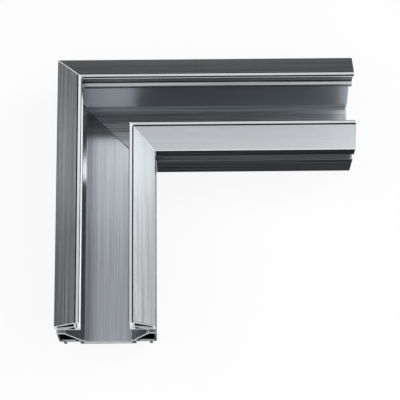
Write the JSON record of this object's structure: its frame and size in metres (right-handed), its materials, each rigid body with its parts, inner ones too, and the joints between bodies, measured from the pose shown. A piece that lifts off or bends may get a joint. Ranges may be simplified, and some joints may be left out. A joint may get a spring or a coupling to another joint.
{
  "type": "track light corner connector",
  "caption": "L-shaped corner of hollow aluminium lighting profile: mitred arms with a deep open trough, bevelled flanges, side grooves and rear fixing slots, joining straight runs squarely.",
  "frame": {"origin": "crossing of the two arms' centre lines, on the back plane that lies against ceiling or wall", "axes": "+X along the long arm to its cut end, -Y along the short arm to its cut end, +Z out of the mouth"},
  "size_m": [0.152, 0.1407, 0.05],
  "materials": {
    "profile": "brushed along each arm",
    "cleat": "plain mill finish"
  },
  "bodies": {
    "root": {"long_arm": "profile", "short_arm": "profile", "outer_cleat": "cleat", "inner_cleat": "cleat"}
  },
  "joints": []
}
